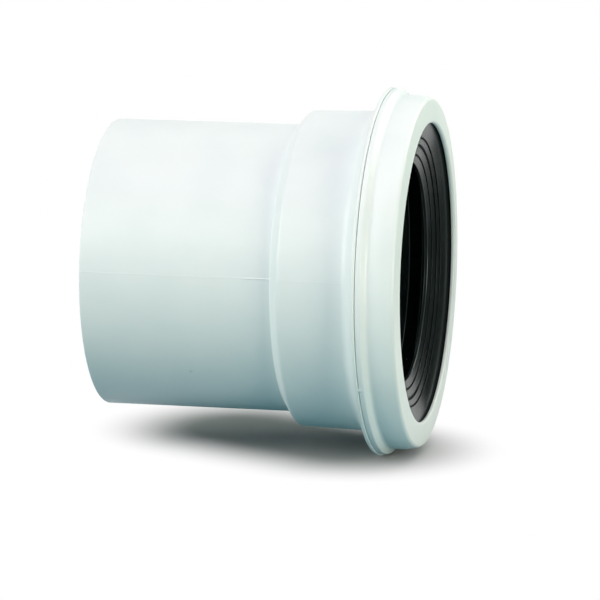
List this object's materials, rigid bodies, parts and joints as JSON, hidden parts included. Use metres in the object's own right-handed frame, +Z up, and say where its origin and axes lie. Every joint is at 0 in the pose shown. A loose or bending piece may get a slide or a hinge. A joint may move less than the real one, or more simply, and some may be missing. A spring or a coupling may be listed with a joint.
{
  "type": "toilet pan connector",
  "caption": "Straight toilet pan connector: a pipe spigot that widens through a shoulder to a socket, with a push-fit cap that holds a finned rubber seal for the pan outlet.",
  "frame": {"origin": "centre of the spigot's free end, on the axis of the waterway", "axes": "+X along the waterway from the spigot's free end to the mouth that takes the pan outlet, +Z up with the connector level as it is fixed"},
  "size_m": [0.1229, 0.1404, 0.1404],
  "materials": {
    "white_pvc": "satin moulded white PVC-U",
    "black_rubber": "moulded black rubber with a dull sheen"
  },
  "bodies": {
    "root": {"pipe_body": "white_pvc", "retaining_cap": "white_pvc", "finned_seal": "black_rubber"}
  },
  "joints": []
}
